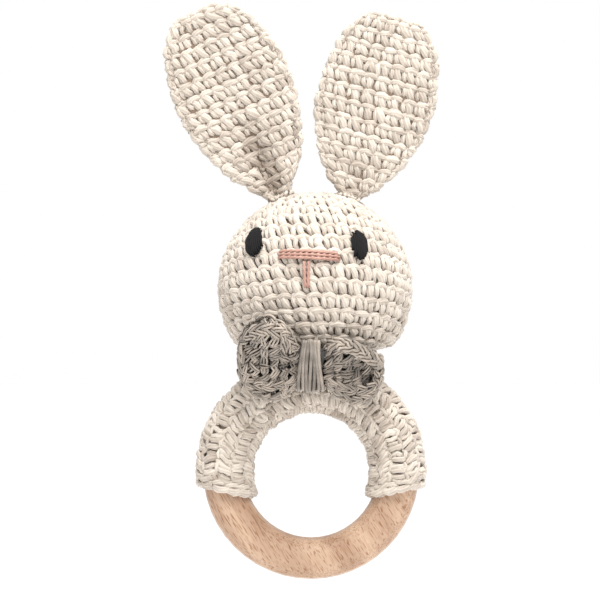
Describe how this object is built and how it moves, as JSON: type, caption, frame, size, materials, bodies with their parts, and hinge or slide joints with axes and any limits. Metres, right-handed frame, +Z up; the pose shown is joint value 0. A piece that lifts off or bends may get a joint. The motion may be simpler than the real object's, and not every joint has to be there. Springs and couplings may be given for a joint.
{
  "type": "baby rattle",
  "caption": "Crocheted bunny rattle: a stuffed head with soft ears, an embroidered face and a bow, on a crocheted sleeve that turns round a wooden teething ring.",
  "frame": {"origin": "centre of the wooden ring, where a hand or a toy clip passes through it and holds it", "axes": "+Z runs up from the ring's centre through the neck and the head; +Y is the ring's own axis and points out of the toy's back, so the face looks along -Y; -X is the side called left"},
  "size_m": [0.0892, 0.0688, 0.187],
  "materials": {
    "beech": "satin, oiled",
    "cream_yarn": "matte crocheted cotton",
    "grey_yarn": "crocheted cotton with a slight shine",
    "black_yarn": "matte embroidery yarn",
    "pink_yarn": "matte embroidery yarn",
    "fibre": "loose polyester fibre",
    "capsule_plastic": "translucent, smooth",
    "bead_plastic": "smooth"
  },
  "bodies": {
    "ring": {"wood_ring": "beech"},
    "sleeve": {"ring_sleeve": "cream_yarn", "sleeve_seam": "cream_yarn", "neck_stitches": "cream_yarn"},
    "head": {"head_shell": "cream_yarn", "stuffing_upper": "fibre", "stuffing_lower": "fibre", "capsule_lower": "capsule_plastic", "capsule_upper": "capsule_plastic", "left_ear_stitches": "cream_yarn", "right_ear_stitches": "cream_yarn", "left_eye": "black_yarn", "right_eye": "black_yarn", "nose_strand_lower": "pink_yarn", "nose_strand_middle": "pink_yarn", "nose_strand_upper": "pink_yarn", "mouth_strand_left": "pink_yarn", "mouth_strand_right": "pink_yarn", "bow_panel": "grey_yarn", "bow_knot": "grey_yarn", "bow_stitches": "grey_yarn"},
    "left_ear_body": {"left_ear": "cream_yarn"},
    "right_ear_body": {"right_ear": "cream_yarn"},
    "bead_body_1": {"bead_1": "bead_plastic"},
    "bead_body_2": {"bead_2": "bead_plastic"},
    "bead_body_3": {"bead_3": "bead_plastic"},
    "bead_body_4": {"bead_4": "bead_plastic"},
    "bead_body_5": {"bead_5": "bead_plastic"},
    "bead_body_6": {"bead_6": "bead_plastic"}
  },
  "joints": [
    {"name": "ring_turn", "type": "hinge", "parent": "ring", "child": "sleeve", "pos_m": [0, 0, 0], "axis": [0, 1, 0], "continuous": true},
    {"name": "head_nod", "type": "hinge", "parent": "sleeve", "child": "head", "pos_m": [0, 0, 0.0383], "axis": [1, 0, 0], "range_deg": [-12, 12], "stiffness_Nm_per_rad": 0.15},
    {"name": "left_ear_flop", "type": "hinge", "parent": "head", "child": "left_ear_body", "pos_m": [-0.01151, 0, 0.09264], "axis": [1, 0, 0], "range_deg": [-45, 55], "stiffness_Nm_per_rad": 0.01},
    {"name": "right_ear_flop", "type": "hinge", "parent": "head", "child": "right_ear_body", "pos_m": [0.01334, 0, 0.09292], "axis": [1, 0, 0], "range_deg": [-45, 55], "stiffness_Nm_per_rad": 0.01},
    {"name": "shake_bead_1", "type": "slide", "parent": "head", "child": "bead_body_1", "axis": [0, 0, 1], "range_m": [0, 0.0138]},
    {"name": "shake_bead_2", "type": "slide", "parent": "head", "child": "bead_body_2", "axis": [0, 0, 1], "range_m": [0, 0.0138]},
    {"name": "shake_bead_3", "type": "slide", "parent": "head", "child": "bead_body_3", "axis": [0, 0, 1], "range_m": [0, 0.0138]},
    {"name": "shake_bead_4", "type": "slide", "parent": "head", "child": "bead_body_4", "axis": [0, 0, 1], "range_m": [0, 0.0138]},
    {"name": "shake_bead_5", "type": "slide", "parent": "head", "child": "bead_body_5", "axis": [0, 0, 1], "range_m": [0, 0.0138]},
    {"name": "shake_bead_6", "type": "slide", "parent": "head", "child": "bead_body_6", "axis": [0, 0, 1], "range_m": [0, 0.0138]}
  ]
}
